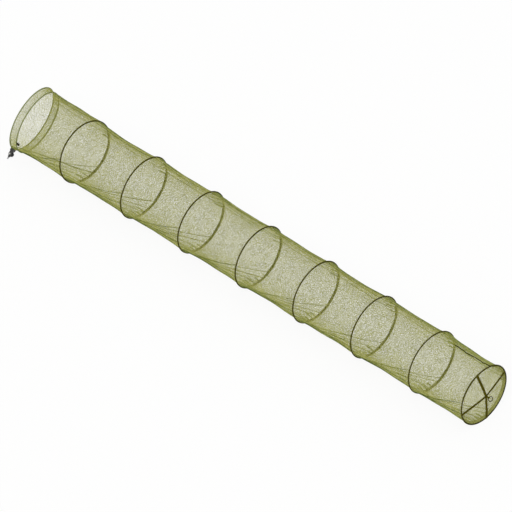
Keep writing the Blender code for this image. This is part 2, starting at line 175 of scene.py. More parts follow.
def surface(name, grid, material, close_rows=False, close_columns=False, cap=False):
    """A grid of points as a surface. cap closes both ends with a middle point. The volume that the faces
    enclose goes with the sum of their triple products. Where it is below zero, they are turned round."""
    if cap:
        grid = np.concatenate((ends(grid[:1]), grid, ends(grid[-1:])))
    rows, columns = grid.shape[:2]
    row, column = faces_of(rows, columns, close_rows, close_columns)
    quads = (row % rows) * columns + column % columns
    corners = np.stack((row / (rows - (not close_rows)), column / (columns - (not close_columns))), -1)
    points = grid.reshape(-1, 3)
    a, b, c, d = (points[quads[:, k]] for k in range(4))
    volume = (np.cross(a, b) * c).sum() + (np.cross(a, c) * d).sum()
    if volume < 0:
        quads = quads[:, ::-1]
        corners = corners[:, ::-1]
    made = make_piece(name, points, quads, corners, material)
    if cap:
        weld(made)
    return made


def ends(row):
    """A row of the same length as a section, all of it at the section's middle."""
    return np.broadcast_to(row.mean(1, keepdims=True), row.shape)


def weld(made):
    """Merges the points that lie on each other, which makes a cap's spokes meet in one point."""
    form = bmesh.new()
    form.from_mesh(made.data)
    bmesh.ops.remove_doubles(form, verts=form.verts, dist=WELD)
    form.to_mesh(made.data)
    form.free()


def thicken(sheet, thickness):
    """Gives an open sheet a wall, half of it on each side."""
    wall = sheet.modifiers.new("wall", "SOLIDIFY")
    wall.thickness = thickness
    wall.offset = 0.0


# %% Threads
THREAD_SIDES = 3


def threads(name, paths, outward, radius, material, long_share=1.0):
    """Many thin threads as one mesh. Each path is a row of points, and its thread is a three-sided tube: at
    each point, three corners at equal angles round the path, counted from the outward direction. The radius
    is one number, or one for each point. The UV map gives each thread its own narrow strip, with its length
    along it, which is long_share of the length that a finish is made for."""
    count, stations = paths.shape[:2]
    ahead = unit(np.gradient(paths, axis=1))
    side = unit(np.cross(ahead, outward))
    up = np.cross(side, ahead)
    turn = 2 * pi * np.arange(THREAD_SIDES) / THREAD_SIDES
    ring = np.cos(turn)[:, None] * up[:, :, None] + np.sin(turn)[:, None] * side[:, :, None]
    thick = np.broadcast_to(radius, (count, stations))[..., None, None]
    points = (paths[:, :, None] + thick * ring).reshape(-1, 3)
    row, column = faces_of(stations, THREAD_SIDES, False, True)
    first = np.arange(count)[:, None, None] * stations * THREAD_SIDES
    quads = (first + row * THREAD_SIDES + column % THREAD_SIDES).reshape(-1, 4)[:, ::-1]
    across = (np.arange(count)[:, None, None] + column / THREAD_SIDES) / count
    along = np.broadcast_to(row / (stations - 1) * long_share, across.shape)
    corners = np.stack((across, along), -1).reshape(-1, 4, 2)[:, ::-1]
    return make_piece(name, points, quads, corners, material)


# %% [markdown]
# ## Finishes
# A material starts from what the real one is and how its surface was made. Colours are written as sRGB hex
# codes, as a colour picker shows them, and one function turns them into the linear numbers that a renderer
# adds up. One small function adds a shader node with its settings and links.

# %% Colours and nodes
PATCH_EDGES = (0.3, 0.7)


def linear(code):
    """An sRGB hex colour as linear red, green, blue and alpha: a channel c is c / 12.92 where it is dark, and
    ((c + 0.055) / 1.055) to the power 2.4 elsewhere."""
    shares = [int(code[k : k + 2], 16) / 255 for k in (1, 3, 5)]
    return (*[c / 12.92 if c <= 0.04045 else ((c + 0.055) / 1.055) ** 2.4 for c in shares], 1.0)


def add(tree, kind, values=None, links=None, **settings):
    """Adds one shader node: its settings, the numbers on its sockets and what is linked to them."""
    made = tree.nodes.new("ShaderNode" + kind)
    for name, value in settings.items():
        setattr(made, name, value)
    for name, value in (values or {}).items():
        made.inputs[name].default_value = value
    for name, source in (links or {}).items():
        tree.links.new(source, made.inputs[name])
    return made


def blank(name, **values):
    """A new material with one Principled shader, and the node tree that it is built in."""
    made = bpy.data.materials.new(name)
    made.use_nodes = True
    tree = made.node_tree
    shader = tree.nodes["Principled BSDF"]
    for socket, value in values.items():
        shader.inputs[socket.replace("_", " ")].default_value = value
    return made, tree, shader


def connect(tree, shader, **sources):
    """Links what has been worked out to the sockets of the shader."""
    for socket, source in sources.items():
        tree.links.new(source, shader.inputs[socket.replace("_", " ")])


def two_tones(tree, place, size, dark, light):
    """A colour that drifts between two tones in patches of a real size, given in metres."""
    noise = add(tree, "TexNoise", {"Scale": 1 / size, "Detail": 4.0}, {"Vector": place})
    ramp = add(tree, "ValToRGB", None, {"Fac": noise.outputs["Fac"]})
    for stop, edge, tone in zip(ramp.color_ramp.elements, PATCH_EDGES, (dark, light)):
        stop.position = edge
        stop.color = linear(tone)
    return ramp.outputs["Color"]


# %% [markdown]
# ### Netting thread
# The netting is knitted from a twisted nylon thread, dyed olive. Its two plies wind round each other, which
# shows as slanting bands that catch the light. The bands follow the thread, so they are drawn on the UV map,
# where each thread has its own strip. Real ones come about every millimetre, and they are drawn every 5 mm,
# so that they show. A Wave node at this scale draws a diagonal band in 1.26 of its units, and a straight one
# in 0.63, so a unit is 4 mm of thread. The dye is a little uneven, which is drawn on the object's own
# coordinates.

# %% Netting thread
WAVE_SCALE = 0.5
PLY_UNIT = 0.004
PLY_RELIEF = 0.0002
DYE_PATCH = 0.05
STRAND_LENGTH = 0.67


def thread_finish(name, dark, light, strips):
    """Twisted nylon thread: slanting bands along each strip of the UV map. strips says how many threads
    share the map."""
    made, tree, shader = blank(name, Roughness=0.8, Specular_IOR_Level=0.05)
    colour = two_tones(tree, add(tree, "TexCoord").outputs["Object"], DYE_PATCH, dark, light)
    strip = add(tree, "UVMap", uv_map=UV_MAP).outputs["UV"]
    stretch = add(tree, "Mapping", {"Scale": (strips, STRAND_LENGTH / PLY_UNIT, 1.0)}, {"Vector": strip})
    waves = {"Scale": WAVE_SCALE, "Distortion": 0.3}
    plies = add(tree, "TexWave", waves, {"Vector": stretch.outputs["Vector"]}, bands_direction="DIAGONAL")
    bump = add(tree, "Bump", {"Strength": 0.35, "Distance": PLY_RELIEF}, {"Height": plies.outputs["Fac"]})
    connect(tree, shader, Base_Color=colour, Normal=bump.outputs["Normal"])
    return made


NET_STRIPS = 256
netting_thread = thread_finish("netting_twisted_nylon", "#a9aa5c", "#c0c074", NET_STRIPS)
# Painted shade: the threads gathered in the folds are drawn in a darker olive than the netting, for the shade that
# they cast on each other.
fold_shade_thread = thread_finish("netting_nylon_painted_fold_shade", "#5a6830", "#707f44", NET_STRIPS)
collar_thread = thread_finish("collar_twisted_nylon", "#a0a456", "#b4b468", NET_STRIPS)
selvedge_thread = thread_finish("selvedge_twisted_nylon", "#8a994a", "#a0ad5e", NET_STRIPS)
print("thread finishes", netting_thread.name, collar_thread.name)

# %% [markdown]
# ### Tape, webbing, label and sewing thread
# The sleeves are a narrow polyester tape in plain weave, the straps a heavier polypropylene webbing, and the
# label a fine satin. All three are woven, so one function draws crossing yarns on the piece's UV map, both as
# colour and as relief. They are spaced as real ones are: about 0.6 mm in the tape, where a unit of the
# pattern is 0.9 mm, 1.1 mm in the webbing, and half and a quarter of a millimetre in the label.

# %% Woven finishes
WORN_PATCH = 0.02
PAINTED_SHADE_FADE = {"From Min": 0.18, "From Max": 0.36}


def woven(name, dark, light, units, roughness, relief, inner_painted_shade=1.0):
    """Crossing yarns: the higher of two wave patterns, one along each axis of the UV map. units says how many
    of the pattern's units there are each way. Worn, faded patches are drawn on the object's own coordinates.
    The last argument is the tone half way across the strip, on the tape's inner side: painted shade, which darkens
    the side that faces away from the light and fades out towards the strip's edges."""
    made, tree, shader = blank(name, Roughness=roughness, Specular_IOR_Level=0.04)
    colour = two_tones(tree, add(tree, "TexCoord").outputs["Object"], WORN_PATCH, dark, light)
    strip = add(tree, "UVMap", uv_map=UV_MAP).outputs["UV"]
    stretch = add(tree, "Mapping", {"Scale": (*units, 1.0)}, {"Vector": strip}).outputs["Vector"]
    waves = {"Scale": WAVE_SCALE, "Distortion": 0.2}
    warp, weft = (add(tree, "TexWave", waves, {"Vector": stretch}, bands_direction=way) for way in "XY")
    highest = {0: warp.outputs["Fac"], 1: weft.outputs["Fac"]}
    weave = add(tree, "Math", None, highest, operation="MAXIMUM").outputs["Value"]
    yarn_tone = add(tree, "MapRange", {"To Min": 0.7, "To Max": 1.08}, {"Value": weave})
    across = add(tree, "SeparateXYZ", None, {"Vector": strip}).outputs["Y"]
    off = add(tree, "Math", {1: 0.5}, {0: across}, operation="SUBTRACT").outputs["Value"]
    inner = add(tree, "Math", None, {0: off}, operation="ABSOLUTE").outputs["Value"]
    # Painted shade: half way across the strip, on the tape's inner side, the colour is darkened to the given tone.
    painted_shade_tone = add(tree, "MapRange", {**PAINTED_SHADE_FADE, "To Min": inner_painted_shade, "To Max": 1.0}, {"Value": inner})
    for tone in (yarn_tone, painted_shade_tone):
        scaled = {0: colour, "Scale": tone.outputs["Result"]}
        colour = add(tree, "VectorMath", None, scaled, operation="SCALE").outputs["Vector"]
    bump = add(tree, "Bump", {"Strength": 0.6, "Distance": relief}, {"Height": weave})
    connect(tree, shader, Base_Color=colour, Normal=bump.outputs["Normal"])
    return made


# %% Tape, webbing, label and sewing thread
TAPE_UNIT = 0.0009
TAPE_GIRTH = 0.025
RING_ROUND = 1.257
TAPE_UNITS = (RING_ROUND / TAPE_UNIT, TAPE_GIRTH / TAPE_UNIT)
WEBBING_UNITS = (220.0, 22.0)
LABEL_UNITS = (30.0, 60.0)
STITCHES_ROUND = 160
# Painted shade on the tapes' inner sides: the sleeve tape is darkened there to a fifth of its colour, the green
# tape to nine tenths.
sleeve_tape = woven("sleeve_polyester_tape", "#454212", "#53501e", TAPE_UNITS, 0.9, 0.0002, inner_painted_shade=0.2)
collar_tape = woven("sleeve_tape_green", "#747a4c", "#888e5e", TAPE_UNITS, 0.85, 0.0002, inner_painted_shade=0.9)
webbing = woven("strap_polypropylene_webbing", "#443f06", "#555010", WEBBING_UNITS, 0.85, 0.0003)
label_cloth = woven("label_satin", "#201d10", "#2c2918", LABEL_UNITS, 0.6, 0.0001)
sewing_thread = thread_finish("sewing_thread", "#3c4014", "#545a20", STITCHES_ROUND)
lacing_cord = thread_finish("lacing_braided_cord", "#2e3008", "#40441a", 1)
print("woven finishes", sleeve_tape.name, collar_tape.name, webbing.name, label_cloth.name)

# %% [markdown]
# ### Rods, block and metal
# The rods and the pull ring are extruded or moulded plastic, smooth with faint flow marks. The block is
# moulded in black nylon with a spark-eroded texture, whose grains are about 0.4 mm across. The screws and the
# bolt are zinc plated steel, and the stud is turned from aluminium, whose cut leaves fine rings.

# %% Moulded and metal finishes
MOULD_PATCH = 0.012
PATCH_MARKS = 6


def moulded(name, dark, light, roughness, grain, relief, shine=0.5):
    """Moulded plastic: two near tones in soft patches, and a grain of a real size as relief."""
    made, tree, shader = blank(name, Roughness=roughness, IOR=1.5, Specular_IOR_Level=shine)
    place = add(tree, "TexCoord").outputs["Object"]
    colour = two_tones(tree, place, MOULD_PATCH, dark, light)
    pits = add(tree, "TexNoise", {"Scale": 1 / grain, "Detail": 3.0}, {"Vector": place}).outputs["Fac"]
    bump = add(tree, "Bump", {"Strength": 0.4, "Distance": relief}, {"Height": pits}).outputs["Normal"]
    span = {"To Min": roughness - 0.08, "To Max": roughness + 0.1}
    gloss = add(tree, "MapRange", span, {"Value": pits}).outputs["Result"]
    connect(tree, shader, Base_Color=colour, Roughness=gloss, Normal=bump)
    return made


def metal(name, dark, light, roughness, mark, stretched):
    """Metal with fine marks of a real size, drawn out by the stretched scale along each axis."""
    made, tree, shader = blank(name, Roughness=roughness, Metallic=1.0)
    place = add(tree, "TexCoord").outputs["Object"]
    drawn = add(tree, "Mapping", {"Scale": stretched}, {"Vector": place}).outputs["Vector"]
    colour = two_tones(tree, drawn, mark * PATCH_MARKS, dark, light)
    marks = add(tree, "TexNoise", {"Scale": 1 / mark, "Detail": 3.0}, {"Vector": drawn}).outputs["Fac"]
    span = {"To Min": roughness - 0.1, "To Max": roughness + 0.12}
    gloss = add(tree, "MapRange", span, {"Value": marks}).outputs["Result"]
    connect(tree, shader, Base_Color=colour, Roughness=gloss)
    return made


rod_plastic = moulded("rod_extruded_pvc", "#2e3016", "#3a3c1e", 0.5, 0.003, 0.0001)
block_nylon = moulded("block_moulded_nylon", "#121212", "#1e1e1d", 0.48, 0.0004, 0.00005)
pull_acetal = moulded("pull_ring_moulded_acetal", "#343214", "#444220", 0.6, 0.001, 0.00004, shine=0.15)
plated_steel = metal("zinc_plated_steel", "#a9a9a4", "#c4c4bf", 0.38, 0.0006, (1.0, 1.0, 1.0))
stud_alloy = metal("turned_aluminium", "#a2a3a4", "#bcbdbe", 0.32, 0.0003, (1.0, 0.2, 1.0))
print("moulded and metal finishes", len(bpy.data.materials), "materials so far")

# %% [markdown]
# ## The rings
# A ring is a smooth rod inside a tape that is folded over it and sewn along the net. The tape could be a
# plain torus, but a real one puckers between its stitches, and its two edges meet in a flap that stands
# inwards and towards the mouth. So its section swells and narrows along the ring, by a sum of two sine waves,
# and the flap is a narrow bell on it.

# %% Rods and tapes
ROD_RADIUS = 0.0030
TAPE_RADIUS = {"mouth": 0.0035, "collar": 0.0035}
BODY_TAPE = 0.0042
STITCH_STEP = 0.008
PUCKER = 0.00025
SLOW_PUCKER = 0.6
SLOW_PACE = 0.37
FLAP_TURN = radians(225)
FLAP_WIDTH = 0.30
FLAP = {"mouth": 0.0010, "collar": 0.0030, "base": 0.0030}
BODY_FLAP = 0.0070
FLAP_UNEVEN = 0.15
ROUND_STEPS = 320
SECTION_STEPS = 32
ROD_STEPS = 12


def spokes(angle, first, second):
    """Directions at angles that are counted from one direction towards another at right angles to it."""
    return np.cos(angle)[..., None] * first + np.sin(angle)[..., None] * second


def outward(ring_axis, angle):
    """The direction away from a ring's axis at an angle that is counted from the hinge line."""
    return spokes(angle, HINGE, np.cross(ring_axis, HINGE))


def torus(ring, angle, turn, thickness):
    """Points round a ring: out from its centre to the rod, then round the rod by turn, from outside."""
    reach = ring["radius"] + thickness * np.cos(turn)
    aside = thickness * np.sin(turn)
    return ring["centre"] + reach[..., None] * outward(ring["axis"], angle) + aside[..., None] * ring["axis"]


def wave_starts(seed, count):
    """Random starting points for a few sine waves, as angles."""
    return np.random.default_rng(seed).uniform(0, 2 * pi, count)


def stitches_on(ring):
    """How many stitches go round a ring."""
    return round(2 * pi * ring["radius"] / STITCH_STEP)


def tape_thickness(angle, turn, ring, seed):
    """The tape's section: narrow at each stitch, uneven along the ring, with a flap on the inner side."""
    phases = wave_starts(seed, 2)
    beat = stitches_on(ring) * angle
    pucker = np.cos(beat + phases[0]) + SLOW_PUCKER * np.sin(SLOW_PACE * beat + phases[1])
    inner = np.clip(-np.cos(turn), 0, 1)
    flap = np.exp(-(((turn - FLAP_TURN) / FLAP_WIDTH) ** 2))
    tall = FLAP.get(ring["body"], BODY_FLAP) * (1 + FLAP_UNEVEN * np.sin(11 * angle + phases[1]))
    return TAPE_RADIUS.get(ring["body"], BODY_TAPE) + inner * PUCKER * pucker + tall * flap


def grid_of(rows, columns, start=0.0, end=2 * pi, closed=True):
    """Two arrays of angles: the first from start to end along the rows, the second once round the columns."""
    return crossed(
        np.linspace(start, end, rows, endpoint=not closed),
        np.linspace(0, 2 * pi, columns, endpoint=False),
    )


# %% [markdown]
# ### Stitches
# A tape is whipped to the net: the sewing thread slants over the tape's inner side once in every 8 mm. Each
# stitch is one arc, whose ends dip into the tape by a fourth power of the distance from its middle, so that
# it seems to go through the cloth. The clamp takes up a stretch of the mouth ring, which stays bare of tape.

# %% Stitches and dressed rings
STITCH_POINTS = 9
STITCH_SLANT = 0.35
STITCH_REACH = radians(105)
STITCH_LIFT = 0.0002
STITCH_DIP = 0.0006
STITCH_THREAD = 0.00035


def wrapped(angle):
    """An angle brought to within half a turn of zero."""
    return (angle + pi) % (2 * pi) - pi


def whip_stitches(name, ring, seed, gap):
    """Sewing thread over the tape's inner side: a slanting arc for each stitch, with its ends in the tape."""
    stitches = stitches_on(ring)
    start = np.arange(stitches)[:, None] * 2 * pi / stitches
    if gap is not None:
        start = start[np.abs(wrapped(start[:, 0] - gap[0])) > gap[1]]
    share = np.linspace(-1, 1, STITCH_POINTS)[None, :]
    angle = start + share * STITCH_SLANT * 2 * pi / stitches
    turn = np.broadcast_to(pi + share * STITCH_REACH, angle.shape)
    rise = STITCH_LIFT - STITCH_DIP * np.abs(share) ** 4
    paths = torus(ring, angle, turn, tape_thickness(angle, turn, ring, seed) + rise)
    core = torus(ring, angle, turn, np.zeros_like(turn))
    return threads(name, paths, unit(paths - core), STITCH_THREAD, sewing_thread)


def dress_ring(ring, rod_node, sleeve_node, name, seed, cloth=sleeve_tape, gap=None):
    """Rod, tape and stitches of one ring. gap is the angle and half width of a stretch without tape."""
    angle, turn = grid_of(ROUND_STEPS, ROD_STEPS)
    core = torus(ring, angle, turn, np.full_like(turn, ROD_RADIUS))
    rod = surface(f"{name}_rod", core, rod_plastic, close_rows=True, close_columns=True)
    whole = gap is None
    start, end = (0.0, 2 * pi) if whole else (gap[0] + gap[1], gap[0] - gap[1] + 2 * pi)
    angle, turn = grid_of(ROUND_STEPS, SECTION_STEPS, start, end, whole)
    grid = torus(ring, angle, turn, tape_thickness(angle, turn, ring, seed))
    tape = surface(f"{name}_tape", grid, cloth, close_rows=whole, close_columns=True, cap=not whole)
    stitching = whip_stitches(f"{name}_stitching", ring, seed, gap)
    for piece in (rod, tape, stitching):
        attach(piece, ring["body"])
    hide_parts(rod_node)
    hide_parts(sleeve_node)
    return tape


# %% The clamp's place, and the ten rings
TAPE_CLEARANCE = 0.0004
clamp_at = middle("clamp_body") - mouth["centre"]
CLAMP_ANGLE = np.arctan2(clamp_at @ np.cross(mouth["axis"], HINGE), clamp_at @ HINGE)
clamp_side = np.cross(mouth["axis"], outward(mouth["axis"], CLAMP_ANGLE))
clamp_points = points_of("clamp_body") - mouth["centre"]
CLAMP_HALF = np.abs(clamp_points @ clamp_side).max()
CLAMP_EDGE = np.abs(clamp_points @ mouth["axis"]).max()
CLAMP_GAP = (CLAMP_ANGLE, (CLAMP_HALF + TAPE_CLEARANCE) / mouth["radius"])
print("clamp at", np.degrees(CLAMP_ANGLE).round(1), "half", CLAMP_HALF.round(4), "edge", CLAMP_EDGE.round(4))

tapes = {
    "mouth": dress_ring(mouth, "mouth_ring", "mouth_sleeve", "mouth", 1, collar_tape, CLAMP_GAP),
    "collar": dress_ring(collar, "collar_ring", "collar_sleeve", "collar", 2, collar_tape),
    "base": dress_ring(base, "base_ring", "base_sleeve", "base", 3),
}
for k, ring in enumerate(body_rings, start=1):
    tapes[ring["body"]] = dress_ring(ring, f"body_ring_{k}", f"ring_sleeve_{k}", f"ring_{k}", 10 + k)
print("tapes", len(tapes))

# %% [markdown]
# ## The netting
# The netting is a tube of diamond meshes. A texture with holes would look flat from close by, so its threads
# are real: the knots lie on a grid that winds round the tube, every other row half a mesh on, and each thread
# steps from row to row to the left or to the right. The real mesh is finer than the picture can show, so it
# is drawn with bars of 6.6 mm. Between two rings the tube draws in, and its slack netting falls in folds.

# %% The tube between two rings
NET_RADIUS = 0.2
SEAT = 0.0035
NECK_LENGTH = 0.009
NECK_SHARE = 0.35
WAIST_SHARE = 0.75
WAIST_RISE = (0.045, 0.120)
WAIST_FALL = (0.100, 0.060)
WOBBLE = 0.0008
WOBBLE_WAVES = ((3, 5), (5, -9), (2, 14))


def between(first, last, share):
    """What lies at a share of the way from one value to another."""
    return first + (last - first) * share


def bay_length(first, last):
    """The distance between the centres of two rings."""
    return np.linalg.norm(last["centre"] - first["centre"])


def tube(first, last, share, angle, radius):
    """Points at a share of the way from one ring to another, an angle and a radius, and the directions
    outward there. The centre and the axis are carried straight from ring to ring."""
    s = share[..., None]
    centre = first["centre"] * (1 - s) + last["centre"] * s
    axis = unit(first["axis"] * (1 - s) + last["axis"] * s)
    out = outward(axis, angle)
    return centre + radius[..., None] * out, out


def drawn_in(first, last, share, angle, upper, lower, seed):
    """The netting's radius: the rings' own, less a short steep neck at each ring and a long slow waist, whose
    depths are shares of the radius. Each falls off towards a ring as an exponential of the distance from it.
    The waist leans towards one ring on the upper side and towards the other below."""
    bay = bay_length(first, last)
    on = share * bay
    left = bay - on
    top = (1 + np.cos(angle)) / 2
    neck = (1 - np.exp(-on / NECK_LENGTH)) * (1 - np.exp(-left / NECK_LENGTH))
    waist = 1 - np.exp(-on / between(*WAIST_RISE, top))
    waist = waist * (1 - np.exp(-left / between(*WAIST_FALL, top)))
    depth = between(lower, upper, top)
    drawn = 1 - NECK_SHARE * depth * neck - WAIST_SHARE * depth * waist
    phases = wave_starts(seed, len(WOBBLE_WAVES))
    waves = [np.sin(a * angle + s * share + p) for (a, s), p in zip(WOBBLE_WAVES, phases)]
    return between(first["radius"], last["radius"], share) * drawn + WOBBLE * sum(waves) * neck


# %% Knots and threads
BAR = 0.0066
NET_THREAD = 0.00095
KNOT_SPREAD = 0.7
KNOT_MEAN = 0.25
KNOT_SLIP = 0.24
KNOT_LIFT = 0.0006
NET_SKEW = 0.35


def gather(angle, radius, line, strength, width, pull, dip):
    """Threads drawn together along a fold. Each moves towards the fold's line by a share of its distance,
    which fades as a bell of that width, and sinks inwards by a dip of the same bell."""
    gap = wrapped(angle - line)
    bell = strength * np.exp(-((gap * radius / width) ** 2))
    return angle - gap * pull * bell, radius - dip * bell


def smooth(value, low, high):
    """0 below low, 1 above high, and a smooth step between them: 3 t t - 2 t t t."""
    t = np.clip((value - low) / (high - low), 0, 1)
    return t * t * (3 - 2 * t)


def knot_grid(first, last, bar, rows_round, seed, shape, slip=KNOT_SLIP, skew=NET_SKEW):
    """The places of the knots, as a share of the way, an angle and a radius. The mesh is skewed by an angle
    over the bay, as a net is that was knitted in a spiral, and each knot has slipped from its place by a
    random share of a bar. The knots at the two rings stay in their places."""
    bay = bay_length(first, last)
    rows = round((bay - 2 * SEAT) / (bar / sqrt(2)))
    row, column = crossed(np.arange(rows + 1), np.arange(rows_round))
    rng = np.random.default_rng(seed)
    inside = (row > 0) & (row < rows)
    angle = 2 * pi * (column + 0.5 * (row % 2)) / rows_round
    angle = angle + inside * rng.normal(0, slip * bar / NET_RADIUS, row.shape)
    share = SEAT / bay + (1 - 2 * SEAT / bay) * row / rows
    share = share + inside * rng.normal(0, slip * bar / bay, row.shape)
    angle = angle + skew * share
    radius = shape(share, angle) + inside * rng.normal(0, KNOT_LIFT, row.shape)
    return share, angle, radius


def diamond_threads(name, points, out, radius, material, long_share):
    """Joins the knots into threads: one family steps half a mesh on at each row, the other half a mesh back.
    Both are as thick at a knot as the knot is. A knot's size is the cube of a random number, so most knots
    are small, and a few are large and loose."""
    rows, count = points.shape[:2]
    knots = np.random.default_rng(count).random((rows, count)) ** 3
    knots = radius * (1 + KNOT_SPREAD * (knots - KNOT_MEAN))
    start, row = crossed(np.arange(count), np.arange(rows))
    ways = ((start + row // 2) % count, (start - (row + 1) // 2) % count)
    parts = (np.concatenate([each[row, way] for way in ways]) for each in (points, out, knots))
    return threads(name, *parts, material, long_share)


# %% [markdown]
# ### Folds
# The netting hangs from the upper half of the rings, so its slack gathers below. Its folds start together at
# the bottom of one ring and fan out to the next one, some over the near side and some over the far side.
# Along a fold the threads are drawn together until they lie side by side. At each ring the netting is also
# ruffled where it is sewn to the tape. So each fold is a line along which the knots move together, with a
# bundle of the drawn threads on it. A seam runs along the upper far side, where the netting's two edges are
# laced.

# %% Lines of the folds
FAN_START = radians(185)
FAN_SHARE = 0.10
FAN_DRIFT = 0.06
FAN_START_DRIFT = 0.04
FAN_GROWTH = 0.2
FAN_GATHER = {"width": 0.010, "pull": 0.15, "dip": 0.002}
FOLD_ENDS = np.radians((121, 140, 152, 165, 197, 212, 228, 243, 257))
LOW_RUFFLES = np.radians((183, 190, 198, 206, 214, 223, 232))
TOP_RUFFLES = np.radians((-7, -15, -24, -33, -43))
RUFFLE_REACH = 0.03
RUFFLE_REACH_STEP = 0.01
RUFFLE_GATHER = {"width": 0.008, "pull": 0.3, "dip": 0.002}
SEAM_ANGLE = radians(-38)
SEAM_WANDER = 0.01
SEAM_GATHER = {"width": 0.007, "pull": 0.3, "dip": 0.001}


def either_way(rng, most, shape=None):
    """A random value from -most to most, or an array of them."""
    return rng.uniform(-most, most, shape)


def fold_lines(number):
    """Where a bay's folds run: their angles at the ring that they start from and at the next one."""
    rng = np.random.default_rng(100 + number)
    finish = FOLD_ENDS + either_way(rng, FAN_DRIFT, len(FOLD_ENDS))
    start = FAN_START + FAN_SHARE * (finish - pi) + either_way(rng, FAN_START_DRIFT, len(FOLD_ENDS))
    return start, finish


def slack(number, bay, share, angle, radius):
    """Gathers a bay's threads along its folds, its ruffles and its seam. A ruffle fades as an exponential of
    the distance from the next ring, over one of three lengths."""
    for start, finish in zip(*fold_lines(number)):
        strength = smooth(share, 0.0, FAN_GROWTH)
        angle, radius = gather(angle, radius, between(start, finish, share), strength, **FAN_GATHER)
    for lines in (LOW_RUFFLES, TOP_RUFFLES):
        for k, line in enumerate(lines):
            reach = RUFFLE_REACH + RUFFLE_REACH_STEP * ((k * 7 + number) % 3)
            strength = np.exp(-(1 - share) * bay / reach)
            angle, radius = gather(angle, radius, line, strength, **RUFFLE_GATHER)
    seam = SEAM_ANGLE + SEAM_WANDER * np.sin(9 * share + number)
    return gather(angle, radius, seam, 1.0, **SEAM_GATHER)


# %% [markdown]
# A bundle is a few threads side by side. Each kind of fold has its own: how many threads it has and how wide
# it is. Most bundles are sunk into the netting, and those on the side that the net shows stand out from it.

# %% Bundles of drawn threads
CREST_LINES = np.radians((-28, -21, -14, -7, -1, 6, 13, 21, 158, 167, 174, 181, 188))
CREST_SPREAD = 0.03
CREST_DRIFT = 0.06
CREST_EDGE = 0.1
START_RUFFLES = np.radians((-24, -16, -8, 5, 12, 172, 178, 187))
START_REACHES = (0.06, 0.20)
START_DRIFT = 0.15
RUFFLE_REACHES = (0.030, 0.070)
RUFFLE_DRIFT = 0.03
SEAM_DRIFT = 0.02
DEEP_FOLDS = np.radians(((210, 246), (-31, -10)))
FAN_BUNDLE = {"count": 4, "wide": 0.0036}
RUFFLE_BUNDLE = {"count": 9, "wide": 0.009}
START_BUNDLE = {"count": 3, "wide": 0.004}
CREST_BUNDLE = {"count": 2, "wide": 0.003}
SEAM_BUNDLE = {"count": 3, "wide": 0.004}
DEEP_BUNDLE = {"count": 9, "wide": 0.008}
SUNK = (0.0005, 0.0030)
RAISED = (-0.0014, 0.0)
LINE_WANDER = 0.012
PLACE_DRIFT = 0.1
LOOSE = 0.5
PHASE_SPREAD = 6
FOLD_STEPS = 38
FOLD_THREAD = 0.0009


def bundle(rng, start, finish, low, high, count, wide, depths=SUNK):
    """Threads that lie side by side along a line from one angle and share of the bay to another. Each keeps
    its own distance from the line, less where the bundle is drawn tight, and has its own depth in the
    netting. The line and the tightness follow slow sine waves."""
    share = np.linspace(low, high, FOLD_STEPS)[None, :]
    line = between(start, finish, share)
    line = line + LINE_WANDER * np.sin(7 * share + rng.uniform(0, PHASE_SPREAD))
    place = (np.arange(count)[:, None] - (count - 1) / 2) / count + either_way(rng, PLACE_DRIFT, (count, 1))
    loose = 1 + LOOSE * np.sin(13 * share + rng.uniform(0, PHASE_SPREAD, (count, 1)))
    depth = rng.uniform(*depths, (count, 1))
    line = line + place * wide * loose / NET_RADIUS
    return np.broadcast_to(share, line.shape), line, np.broadcast_to(depth, line.shape)


def joined(runs):
    """The shares, angles and depths of many bundles, each as one array."""
    return (np.concatenate(parts) for parts in zip(*runs))


def fold_runs(number, bay):
    """The bundles of a bay's folds, ruffles, crest lines and seam."""
    rng = np.random.default_rng(200 + number)
    edge = SEAT / bay
    for start, finish in zip(*fold_lines(number)):
        yield bundle(rng, start, finish, edge, 1 - edge, **FAN_BUNDLE)
    for line in (*LOW_RUFFLES, *TOP_RUFFLES):
        reach = rng.uniform(*RUFFLE_REACHES) / bay
        finish = line + either_way(rng, RUFFLE_DRIFT)
        yield bundle(rng, line, finish, 1 - reach, 1 - edge, **RUFFLE_BUNDLE)
    for line in START_RUFFLES:
        reach = rng.uniform(*START_REACHES) / bay
        finish = line + either_way(rng, START_DRIFT)
        side = RAISED if 0 < line < pi else SUNK
        yield bundle(rng, line, finish, edge, reach, depths=side, **START_BUNDLE)
    for line in CREST_LINES + either_way(rng, CREST_SPREAD, len(CREST_LINES)):
        finish = line + either_way(rng, CREST_DRIFT)
        side = RAISED if -CREST_EDGE < line < pi + CREST_EDGE else SUNK
        yield bundle(rng, line, finish, edge, 1 - edge, depths=side, **CREST_BUNDLE)
    yield bundle(rng, SEAM_ANGLE, SEAM_ANGLE + SEAM_DRIFT, edge, 1 - edge, **SEAM_BUNDLE)
    if number == 1:
        for start, finish in DEEP_FOLDS:
            yield bundle(rng, start, finish, edge, 1 - edge, **DEEP_BUNDLE)


def fold_threads(number, first, last, shape):
    """All the bundles of a bay as one piece."""
    bay = bay_length(first, last)
    share, angle, depth = joined(fold_runs(number, bay))
    points, out = tube(first, last, share, angle, shape(share, angle) - depth)
    # The bundles take the darker thread, which is painted shade of the folds.
    made = threads(f"folds_{number}", points, out, FOLD_THREAD, fold_shade_thread, bay / STRAND_LENGTH)
    return made


# %% [markdown]
# ### Eight bays
# Each bay is one panel of netting, sewn into a tube, with a hem at each ring. Its flat cloth is as wide as the
# ring is round and as long as the bay with its hems. When a ring slides up to the one before it, the netting
# between them folds up.

# %% One bay
NETS_ROUND = 128


